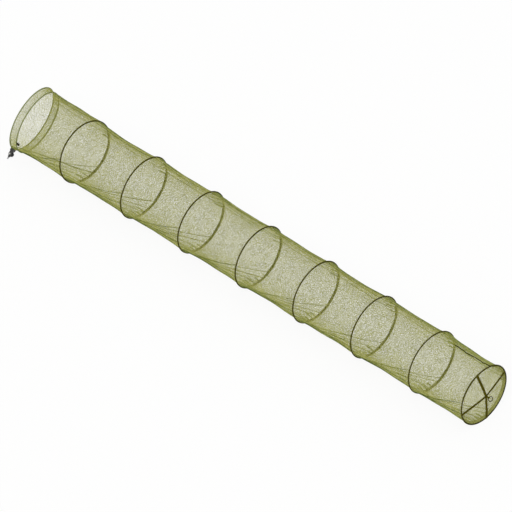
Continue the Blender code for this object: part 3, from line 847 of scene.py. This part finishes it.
def net_bay(number, first, last, upper, lower):
    """The netting of one bay, and the threads of its folds."""
    bay = bay_length(first, last)

    def shape(share, angle):
        return drawn_in(first, last, share, angle, upper, lower, number)

    share, angle, radius = knot_grid(first, last, BAR, NETS_ROUND, number, shape)
    angle, radius = slack(number, bay, share, angle, radius)
    points, out = tube(first, last, share, angle, radius)
    length = bay * sqrt(2) / STRAND_LENGTH
    made = diamond_threads(f"netting_{number}", points, out, NET_THREAD, netting_thread, length)
    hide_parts(f"net_panel_{number}")
    return made, fold_threads(number, first, last, shape)


# %% Eight bays hung
stations = [collar, *body_rings, base]
WAISTS = [(0.012, 0.054)] + [(0.088, 0.068)] * 6 + [(0.076, 0.044)]


def hang(piece, first, last):
    """Attaches a bay's piece to the body of the ring that it starts from. Behind the collar, which leans, its
    place is baked into its mesh instead."""
    if first["body"] == "collar":
        start = first["centre"] + ALONG * (points_of("collar_ring")[:, 0].max() - first["centre"][0])
        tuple(last["centre"])
        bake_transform(piece)
    else:
        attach(piece, first["body"])
        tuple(first["centre"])
        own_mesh(piece)


for number, (first, last) in enumerate(zip(stations, stations[1:]), start=1):
    for piece in net_bay(number, first, last, *WAISTS[number - 1]):
        hang(piece, first, last)
        print(piece.name, "triangles", 2 * len(piece.data.polygons))

# %% [markdown]
# ### Selvedge and lacing
# The last bay carries a selvedge on top: a strip knitted closer, of the greener thread, from one side of the
# net's crest to the other. A dark lacing cord holds its near edge. The strip's lengthwise threads are the
# ones that show, so it is drawn with these alone, and the cord wanders a little about its line.

# %% Selvedge and lacing
SELVEDGE_HALF = radians(37)
SELVEDGE_THREADS = 14
SELVEDGE_STEPS = 60
SELVEDGE_LIFT = 0.0005
SELVEDGE_DRIFT = 0.008
SELVEDGE_WANDER = 0.006
LACING_RADIUS = 0.0034
LACING_ANGLE = radians(32.5)
LACING_START = 0.33
LACING_STEPS = 160
LACING_LIFT = 0.0032
LACING_WANDERS = (0.008, 0.012)


def selvedge():
    """The strip's threads at uneven angles, just outside the netting, and the lacing cord along its edge,
    whose line wanders by two sine waves."""
    first, last = stations[-2:]
    bay = bay_length(first, last)
    rng = np.random.default_rng(31)
    share = np.linspace(SEAT / bay, 1 - SEAT / bay, SELVEDGE_STEPS)
    share = np.broadcast_to(share, (SELVEDGE_THREADS, SELVEDGE_STEPS))
    angle = np.linspace(-SELVEDGE_HALF, SELVEDGE_HALF, SELVEDGE_THREADS)[:, None]
    angle = angle + either_way(rng, SELVEDGE_DRIFT, angle.shape)
    angle = angle + SELVEDGE_WANDER * np.sin(9 * share + rng.uniform(0, PHASE_SPREAD, angle.shape))

    def at(share, angle, lift):
        radius = drawn_in(first, last, share, angle, *WAISTS[-1], len(WAISTS))
        return tube(first, last, share, angle, radius + lift)

    points, out = at(share, angle, SELVEDGE_LIFT)
    strip = threads("selvedge", points, out, NET_THREAD, selvedge_thread, bay / STRAND_LENGTH)
    share = np.linspace(LACING_START, 1 - SEAT / bay, LACING_STEPS)[None, :]
    quick, slow = LACING_WANDERS
    angle = LACING_ANGLE + quick * np.sin(60 * share) + slow * np.sin(23 * share + 1)
    points, out = at(share, angle, LACING_LIFT)
    cord = threads("lacing", points, out, LACING_RADIUS, lacing_cord, bay / STRAND_LENGTH)
    for piece in (strip, cord):
        hang(piece, first, last)
    return strip, cord


print("selvedge", [piece.name for piece in selvedge()])

# %% [markdown]
# ## The collar
# Between the mouth and the collar ring the netting is a second, denser kind in a fresher green. It is sewn
# round both rings. The clamp takes up a short stretch of the mouth ring, so there the netting starts behind
# the clamp.

# %% Collar netting
COLLAR_BAR = 0.0046
COLLAR_THREAD = 0.00105
COLLAR_ROUND = 198
COLLAR_SLIP = 0.08
COLLAR_WAIST = 0.0025
COLLAR_WAVE = 0.0005
COLLAR_LONG_SHARE = 0.1
CLAMP_MARGIN = 0.002
CLAMP_EASE = 0.022


def collar_shape(share, angle):
    """The collar's radius: straight from ring to ring, less a shallow waist, with nine waves round it."""
    straight = between(mouth["radius"], collar["radius"], share)
    return straight - COLLAR_WAIST * np.sin(pi * share) + COLLAR_WAVE * np.sin(9 * angle)


def collar_net():
    """The denser netting, its first rows pushed back behind the clamp: near the clamp's angle a share of the
    way is squeezed into what is left beyond the clamp's edge."""
    bay = bay_length(mouth, collar)
    mesh = (COLLAR_BAR, COLLAR_ROUND, 50, collar_shape, COLLAR_SLIP, 0.0)
    share, angle, radius = knot_grid(mouth, collar, *mesh)
    gap = np.abs(wrapped(angle - CLAMP_ANGLE)) * mouth["radius"]
    near = 1 - smooth(gap, CLAMP_HALF + CLAMP_MARGIN, CLAMP_HALF + CLAMP_EASE)
    edge = (CLAMP_EDGE + CLAMP_MARGIN) / bay
    squeezed = edge + (1 - edge) * (share - SEAT / bay) / (1 - SEAT / bay)
    share = between(share, squeezed, near)
    points, out = tube(mouth, collar, share, angle, radius)
    made = diamond_threads("collar_netting", points, out, COLLAR_THREAD, collar_thread, COLLAR_LONG_SHARE)
    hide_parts("collar_band")
    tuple(mouth["centre"])
    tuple(collar["centre"])
    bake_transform(made)
    return made


# %% Collar folds
COLLAR_FOLDS = np.radians((164, 170, 176, 182, 188, -8, -16, -25, -34, -43))
COLLAR_FOLD_DRIFT = 0.04
COLLAR_FOLD_EDGE = 0.07
COLLAR_BUNDLE = {"count": 4, "wide": 0.005}


def collar_folds():
    """Gathered threads where the collar's netting is slack: on its lowest line and its upper far side."""
    rng = np.random.default_rng(51)
    ends_at = (COLLAR_FOLD_EDGE, 1 - COLLAR_FOLD_EDGE)
    runs = []
    for line in COLLAR_FOLDS:
        finish = line + either_way(rng, COLLAR_FOLD_DRIFT)
        runs.append(bundle(rng, line, finish, *ends_at, depths=RAISED, **COLLAR_BUNDLE))
    share, angle, depth = joined(runs)
    points, out = tube(mouth, collar, share, angle, collar_shape(share, angle) - depth)
    made = threads("collar_folds", points, out, FOLD_THREAD, fold_shade_thread, COLLAR_LONG_SHARE)
    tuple(mouth["centre"])
    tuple(collar["centre"])
    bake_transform(made)
    return made


for piece in (collar_folds(), collar_net()):
    print(piece.name, "triangles", 2 * len(piece.data.polygons))

# %% [markdown]
# ## The base
# The base is a disc of the same netting, which bulges out a little under the straps. Its threads run in two
# crossing families of parallel chords. A gentle wave moves both families together, so that they still cross.

# %% Base netting
NET_HALF = 0.0011
BULGE_SHARE = 0.62
BASE_BULGE = BULGE_SHARE * (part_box("base_net")[1].x - base["centre"][0] - NET_HALF)
BASE_REACH = base["radius"] - 0.0032
BASE_TURN = radians(20)
BASE_STATIONS = 50
CHORDS = 58
CHORD_WAVE = 0.0015
CHORD_WAVE_SIZES = (0.021, 0.024)
BASE_THREAD = 0.00084
LONGEST_CHORD = 0.4


def on_base(y, z):
    """Points on the base: out by the bulge, which falls off with the square of the distance from the middle,
    after both parameters have been moved a little by slow waves."""
    one, other = CHORD_WAVE_SIZES
    y = y + CHORD_WAVE * np.sin(z / one + 1.0) * (1 - (y / BASE_REACH) ** 2)
    z = z + CHORD_WAVE * np.sin(y / other + 2.0) * (1 - (z / BASE_REACH) ** 2)
    far = np.clip(1 - (y**2 + z**2) / BASE_REACH**2, 0, 1)
    return base["centre"] + np.stack((BASE_BULGE * far, y, z), -1)


def base_netting():
    """Both families of chords, each chord with the same number of points."""
    offset = np.linspace(-1, 1, CHORDS + 2)[1:-1, None] * BASE_REACH
    share = np.linspace(-1, 1, BASE_STATIONS)[None, :]
    along = share * np.sqrt(BASE_REACH**2 - offset**2)
    offset = np.broadcast_to(offset, along.shape)
    c, s = cos(BASE_TURN), sin(BASE_TURN)
    one = on_base(c * along - s * offset, s * along + c * offset)
    other = on_base(c * offset - s * along, s * offset + c * along)
    paths = np.concatenate((one, other))
    out = np.broadcast_to(ALONG, paths.shape)
    long_share = LONGEST_CHORD / STRAND_LENGTH
    made = threads("base_netting", paths, out, BASE_THREAD, netting_thread, long_share)
    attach(made, "base")
    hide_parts("base_net")
    return made


print("base netting triangles", 2 * len(base_netting().data.polygons))

# %% [markdown]
# ### Base flap
# The end of the net is turned in at the base ring as a flap and sewn down, so the ring looks doubled where
# one looks at it from inside the net. The flap is a strip of green tape that leans inwards and towards the
# mouth. Its seam is a row of stitches that lie almost end to end, drawn as a cord that swells with each
# stitch.

# %% Base flap
FLAP_START = 0.0036
FLAP_END = 0.0165
FLAP_STEPS = (240, 6)
FLAP_WALL = 0.0006
FLAP_WAVE = 0.0003
SEAM_THREAD = 0.0030
SEAM_STITCHES = 180
SEAM_POINTS = 721
SEAM_SWELL = 0.25
SEAM_LONG_SHARE = 1.8


def base_flap():
    """The flap and its seam: cones about the base ring's axis, at half a right angle to it."""

    def cone(angle, slant):
        depth = slant / sqrt(2) + FLAP_WAVE * np.sin(23 * angle)
        inner = (base["radius"] - depth)[..., None] * outward(base["axis"], angle)
        return base["centre"] + inner - depth[..., None] * base["axis"]

    around, down = FLAP_STEPS
    angle, slant = crossed(
        np.linspace(0, 2 * pi, around, endpoint=False), np.linspace(FLAP_START, FLAP_END, down)
    )
    flap = surface("base_flap", cone(angle, slant), collar_tape, close_rows=True)
    thicken(flap, FLAP_WALL)
    turn = np.linspace(0, 2 * pi, SEAM_POINTS)[None, :]
    thick = SEAM_THREAD * (1 + SEAM_SWELL * np.cos(SEAM_STITCHES * turn))
    out = outward(base["axis"], turn)
    seam = threads("base_seam", cone(turn, FLAP_END), out, thick, lacing_cord, SEAM_LONG_SHARE)
    for piece in (flap, seam):
        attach(piece, "base")
    return flap, seam


print("flap and seam", [piece.name for piece in base_flap()])

# %% [markdown]
# ## Straps
# Two webbing straps cross over the base and are sewn down on its ring. Webbing has soft, rounded edges that
# are never quite straight, so its section is a flat superellipse and its width and line wander by a
# millimetre.

# %% Straps
STRAP_WIDTH = 0.0175
STRAP_THICKNESS = 0.0015
STRAP_REACH = base["radius"] + 0.001
STRAP_FOOT = 0.0046
STRAP_ANGLES = {"under": radians(15), "over": radians(102.3)}
STRAP_BEND = {"under": radians(6.8), "over": radians(6.0)}
BEND_SHARE = 0.12
STRAP_CLEARANCE = 0.0003
CROSSING_HALF = 0.016
STRAP_WANDER = 0.0008
STRAP_STEPS = 160
RIBBON_SECTION = 20
RIBBON_POWERS = (0.35, 0.7)


def softened(wave, power):
    """A cosine or sine raised to a small power, with its sign kept."""
    return np.sign(wave) * np.abs(wave) ** power


def ribbon(name, line, across, width, thickness, material, closed=False):
    """A flat band along a line. Its section is a superellipse: the cosine and sine of an angle, each raised
    to a small power, times half the width and half the thickness."""
    ahead = unit(np.gradient(line, axis=0))
    across = unit(across - (across * ahead).sum(-1, keepdims=True) * ahead)
    up = np.cross(ahead, across)
    turn = np.linspace(0, 2 * pi, RIBBON_SECTION, endpoint=False)
    flat = (width / 2)[:, None] * softened(np.cos(turn), RIBBON_POWERS[0])
    tall = thickness / 2 * softened(np.sin(turn), RIBBON_POWERS[1])
    grid = line[:, None] + flat[..., None] * across[:, None] + tall[:, None] * up[:, None]
    return surface(name, grid, material, close_rows=closed, close_columns=True, cap=not closed)


def strap(which, lift, seed):
    """One strap from side to side, on a line that stands out from the base's ring by the bulge. Its halves
    are pulled a few degrees apart at the crossing, by a hyperbolic tangent of the distance from it. lift is
    how far it rises over the other strap there."""
    share = np.linspace(-1, 1, STRAP_STEPS)
    angle = STRAP_ANGLES[which] + STRAP_BEND[which] * np.tanh(share / BEND_SHARE)
    distance = share * STRAP_REACH
    crown = BASE_BULGE + NET_HALF - STRAP_FOOT
    out = STRAP_FOOT + crown * (1 - share**2) + STRAP_THICKNESS / 2
    out = out + lift * np.exp(-((distance / CROSSING_HALF) ** 4))
    phases = wave_starts(seed, 3)
    wander = STRAP_WANDER * np.sin(5 * share + phases[0]) * (1 - share**8)
    uneven = 0.03 * np.sin(31 * share + phases[1]) + 0.02 * np.sin(77 * share + phases[2])
    none = np.zeros_like(angle)
    along = np.stack((none, np.cos(angle), np.sin(angle)), -1)
    across = np.stack((none, -np.sin(angle), np.cos(angle)), -1)
    line = base["centre"] + out[:, None] * ALONG + distance[:, None] * along + wander[:, None] * across
    width = STRAP_WIDTH * (1 + uneven)
    made = ribbon(f"webbing_{which}", line, across, width, STRAP_THICKNESS, webbing)
    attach(made, "base")
    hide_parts(f"strap_{which}")
    return made


straps = [strap("under", 0.0, 5), strap("over", STRAP_THICKNESS + STRAP_CLEARANCE, 6)]
print("straps", [piece.name for piece in straps])

# %% [markdown]
# ## Keeper and pull ring
# A short loop of webbing stands on the straps' crossing and keeps a small pull ring of moulded acetal. The
# loop is the same flat band as a strap, carried round a line like a drop. The ring turns in the loop's eye,
# whose place and axis are those of its joint.

# %% Keeper and pull ring
pull_joint = next(joint for joint in frame["joints"] if joint["name"] == "pull_ring_hinge")
EYE = np.array(pull_joint["pos_m"])
EYE_AXIS = unit(np.array(pull_joint["axis"]))
EYE_RADIUS = 0.0040
EYE_ARC = radians(125)
KEEPER_WIDTH = 0.010
KEEPER_WALL = 0.0011
FOOT_HALF = 0.0012
FOOT_LIFT = 0.0055
WIRE_SHARE = 1.2


def keeper():
    """A loop of webbing like a drop: an arc of 250 degrees round the eye, and two legs down to a foot."""
    side = np.cross(EYE_AXIS, ALONG)
    turn = np.linspace(-EYE_ARC, EYE_ARC, 40)
    loop = EYE + EYE_RADIUS * spokes(turn, ALONG, side)
    foot = np.array((base["centre"][0] + BASE_BULGE + FOOT_LIFT, *EYE[1:]))
    legs = np.linspace(0, 1, 12, endpoint=False)[1:, None]
    down = between(loop[-1], foot + FOOT_HALF * side, legs)
    flat = foot + np.linspace(FOOT_HALF, -FOOT_HALF, 5)[:, None] * side
    back = between(foot - FOOT_HALF * side, loop[0], legs)
    line = np.concatenate((loop, down, flat, back))
    width = np.full(len(line), KEEPER_WIDTH)
    across = np.broadcast_to(EYE_AXIS, line.shape)
    made = ribbon("keeper_loop", line, across, width, KEEPER_WALL, webbing, closed=True)
    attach(made, "base")
    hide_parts("pull_ring_keeper")
    return made


def pull_ring():
    """The pull ring: a torus in the plane in which its solid spreads, with a round wire."""
    low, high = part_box("pull_ring")
    centre = middle("pull_ring")
    spread = points_of("pull_ring") - centre
    axis = thin_way(spread)
    first = unit(np.cross(axis, HINGE))
    wire = WIRE_SHARE * np.abs(spread @ axis).max()
    angle, turn = grid_of(96, 20)
    radius = (high.x - low.x) / 2 - wire + wire * np.cos(turn)
    grid = centre + radius[..., None] * spokes(angle, first, np.cross(axis, first))
    grid = grid + (wire * np.sin(turn))[..., None] * axis
    made = surface("pull_ring_smooth", grid, pull_acetal, close_rows=True, close_columns=True)
    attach(made, "pull")
    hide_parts("pull_ring")
    return made


print("keeper and ring", keeper().name, pull_ring().name)

# %% [markdown]
# ## The label
# A small bare label of dark cloth is sewn to the tape of the collar ring and lies on the netting behind it.
# It curls up slightly at its free edge. It is an open sheet that gets its thickness from a Solidify modifier,
# with a row of stitches inside its edge.

# %% Label
LABEL_SIZE = 0.022
LABEL_THICKNESS = 0.0008
LABEL_STEPS = 20
LABEL_CURL = 0.0005
LABEL_RIPPLE = 0.0002
LABEL_BORDER = 0.42
LABEL_STITCHES = 40
LABEL_STITCH_SHARE = 0.06
LABEL_STITCH_LIFT = 0.0001
LABEL_STITCH_THREAD = 0.0002


def curl(u, v):
    """How far the label lifts: by the square of the distance from its sewn edge, most in its middle."""
    return LABEL_CURL * (u + 0.5) ** 2 * (1 + np.cos(5 * v))


def label():
    """The label's sheet and its stitches, which run round it on a square inside its edge."""
    centre = middle("tag")
    out = centre - collar["centre"]
    out = unit(out - (out @ collar["axis"]) * collar["axis"])
    across = np.cross(collar["axis"], out)

    def place(u, v, lift):
        flat = u[..., None] * collar["axis"] + v[..., None] * across
        return centre + LABEL_SIZE * flat + lift[..., None] * out

    half = np.linspace(-0.5, 0.5, LABEL_STEPS)
    u, v = crossed(half, half)
    sheet = place(u, v, curl(u, v) + LABEL_RIPPLE * np.sin(7 * v))
    made = surface("label_cloth", sheet, label_cloth)
    thicken(made, LABEL_THICKNESS)
    corners = np.array(((-1, -1), (1, -1), (1, 1), (-1, 1), (-1, -1))) * LABEL_BORDER
    run = np.linspace(0, 4, LABEL_STITCHES, endpoint=False)
    begin = corners[run.astype(int)]
    step = corners[run.astype(int) + 1] - begin
    share = (run % 1)[:, None, None] + np.linspace(0, LABEL_STITCH_SHARE, 4)[None, :, None]
    spots = begin[:, None] + step[:, None] * share
    u, v = spots[..., 0], spots[..., 1]
    paths = place(u, v, curl(u, v) + LABEL_THICKNESS / 2 + LABEL_STITCH_LIFT)
    up = np.broadcast_to(out, paths.shape)
    sewn = threads("label_stitching", paths, up, LABEL_STITCH_THREAD, sewing_thread)
    for piece in (made, sewn):
        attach(piece, "collar")
    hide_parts("tag")
    return made, sewn


print("label", [piece.name for piece in label()])

# %% [markdown]
# ## The stud
# The stud at the end of the arm screws into a bank stick. It carries a thread of 20 turns to the inch. The
# thread is a ridge that winds round the stud once in each pitch, so the radius at a height and an angle is a
# triangle wave of the height less the share of a turn.

# %% Stud
STUD_RADIUS = 0.0047625
STUD_LENGTH = 0.0225
STUD_CHAMFER = 0.001
STUD_STEPS = (180, 32)
THREAD_PITCH = 0.00127
THREAD_DEPTH = 0.0006
stud_mount = next(mount for mount in frame["record"]["mounts"] if mount["name"] == "stud_tip")


def stud():
    """The threaded stud, from its tip down, with a chamfer of a millimetre at the tip."""
    tip = np.array(stud_mount["pos_m"])
    down = -unit(np.array(stud_mount["axis"]))
    first = unit(np.cross(down, ALONG))
    heights, turns = STUD_STEPS
    deep, turn = crossed(np.linspace(0, STUD_LENGTH, heights), np.linspace(0, 2 * pi, turns, endpoint=False))
    phase = (deep / THREAD_PITCH - turn / (2 * pi)) % 1
    ridge = 1 - np.abs(2 * phase - 1)
    radius = STUD_RADIUS - THREAD_DEPTH * (1 - ridge)
    radius = np.minimum(radius, STUD_RADIUS - STUD_CHAMFER + deep)
    grid = tip + deep[..., None] * down + radius[..., None] * spokes(turn, first, np.cross(down, first))
    made = surface("stud_threaded", grid, stud_alloy, close_columns=True, cap=True)
    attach(made, "arm")
    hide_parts("bank_stick_stud")
    return made


print("stud turns", round(STUD_LENGTH / THREAD_PITCH, 1), stud().name)

# %% [markdown]
# ## The block
# The block's own solids have all their shapes: the clamp's two halves, the fork, the arm and the knob. They
# are moulded parts with small facets, so they only need a finish. A solid keeps its mesh, and its material is
# changed.

# %% Finishes of the block's solids
FINISHES = {
    block_nylon: ("clamp_body", "clamp_cap", "stud_arm", "lock_knob"),
    plated_steel: ("clamp_screw_1", "clamp_screw_2", "pivot_bolt"),
}
for finish, names in FINISHES.items():
    for name in names:
        mesh = frame["nodes"][name].data
        mesh.materials.clear()
        mesh.materials.append(finish)
print("solids with new finishes", sum(len(names) for names in FINISHES.values()))

# %% [markdown]
# ## Camera
# The photograph was taken from far away with a long lens: its far ring is as large as its near one. So the
# camera has a lens of 1700 mm and stands about 141 m off. It is turned so that the middle ring falls on its
# place in the picture.

# %% Camera
LENS = 1700.0
SENSOR = 36.0
PICTURE = 512
SPAN = 2.985
AZIMUTH = radians(42.7)
ELEVATION = radians(41.1)
MIDDLE_RING = (258.45, 257.15)
FARTHEST = 200.0

back = np.array((sin(AZIMUTH) * cos(ELEVATION), -cos(AZIMUTH) * cos(ELEVATION), sin(ELEVATION)))
right = np.array((cos(AZIMUTH), sin(AZIMUTH), 0.0))
up = np.cross(back, right)
aside, above = ((PICTURE / 2 - pixel) * SPAN / PICTURE for pixel in MIDDLE_RING)
aim = body_rings[3]["centre"] + aside * right - above * up
camera = put_in("camera", bpy.data.cameras.new("camera"))
camera.data.lens = LENS
camera.data.sensor_width = SENSOR
camera.data.clip_end = FARTHEST
distance = SPAN * LENS / SENSOR
turned = Vector(-back).to_track_quat("-Z", "Y").to_matrix().to_4x4()
camera.matrix_world = Matrix.Translation(aim + back * distance) @ turned
bpy.context.scene.camera = camera
print("camera stands off by", round(distance, 1), "metres")

# %% [markdown]
# ## Sun and sky
# The net stood in a soft, even light. A broad sun from the camera's side and a plain white sky give that. The
# sky lights the net at less than full strength, and it is full white only where the camera looks at it, or
# where metal or plastic mirrors it. So the background is white and the net isn't overlit.

# %% Sun and sky
SUN_FROM = (0.35, -0.60, 0.72)
SUN_STRENGTH = 1.3
SUN_SOFTNESS = radians(25)
SKY_STRENGTH = 0.72
WHITE = linear("#ffffff")
sun = put_in("sun", bpy.data.lights.new("sun", "SUN"))
sun.data.energy = SUN_STRENGTH
sun.data.angle = SUN_SOFTNESS
sun.rotation_euler = Vector(SUN_FROM).to_track_quat("Z", "Y").to_euler()


def seen_rays(tree):
    """1 for the rays that show the background: the camera's, and those that metal or glass sends on."""
    path = add(tree, "LightPath")
    shown = path.outputs["Is Camera Ray"]
    for kind in ("Is Glossy Ray", "Is Transmission Ray"):
        links = {0: shown, 1: path.outputs[kind]}
        shown = add(tree, "Math", None, links, operation="MAXIMUM").outputs["Value"]
    return shown


world = bpy.data.worlds.new("sky")
bpy.context.scene.world = world
world.use_nodes = True
sky = world.node_tree.nodes["Background"]
sky.inputs["Color"].default_value = WHITE
span = {"To Min": SKY_STRENGTH, "To Max": 1.0}
strength = add(world.node_tree, "MapRange", span, {"Value": seen_rays(world.node_tree)})
connect(world.node_tree, sky, Strength=strength.outputs["Result"])
print("sun", SUN_STRENGTH, "sky", SKY_STRENGTH)

# %% [markdown]
# ## Floor
# The net lies on white paper, which is as bright as the background and still takes a faint shadow. So for the
# rays that the camera sees, the paper mixes a white glow with a little of a matt white that the sun lights.

# %% Floor
FLOOR_HALF = 40.0
FLOOR_DROP = 0.0002
SHADOW_WEIGHT = 0.10
floor_paper = bpy.data.materials.new("floor_white_paper")
floor_paper.use_nodes = True
tree = floor_paper.node_tree
tree.nodes.clear()
glow = add(tree, "Emission", {"Color": WHITE, "Strength": 1.0}).outputs["Emission"]
paper = add(tree, "BsdfDiffuse", {"Color": linear("#f4f4f2")}).outputs["BSDF"]
span = {"To Min": 0.0, "To Max": 1 - SHADOW_WEIGHT}
bright = add(tree, "MapRange", span, {"Value": seen_rays(tree)}).outputs["Result"]
both = add(tree, "MixShader", None, {0: bright, 1: paper, 2: glow})
add(tree, "OutputMaterial", None, {"Surface": both.outputs["Shader"]})
rows, columns = crossed((-FLOOR_HALF, FLOOR_HALF), (-FLOOR_HALF, FLOOR_HALF))
floor_grid = np.stack((rows, columns, np.full(rows.shape, -FLOOR_DROP)), -1)
floor = surface("floor", floor_grid, floor_paper)
print("floor", floor.name, "shadow weight", SHADOW_WEIGHT)

# %% [markdown]
# ## The end
# The picture is shown with the Standard view, so that a colour renders as it is written.

# %% The picture's settings
bpy.context.scene.view_settings.view_transform = "Standard"
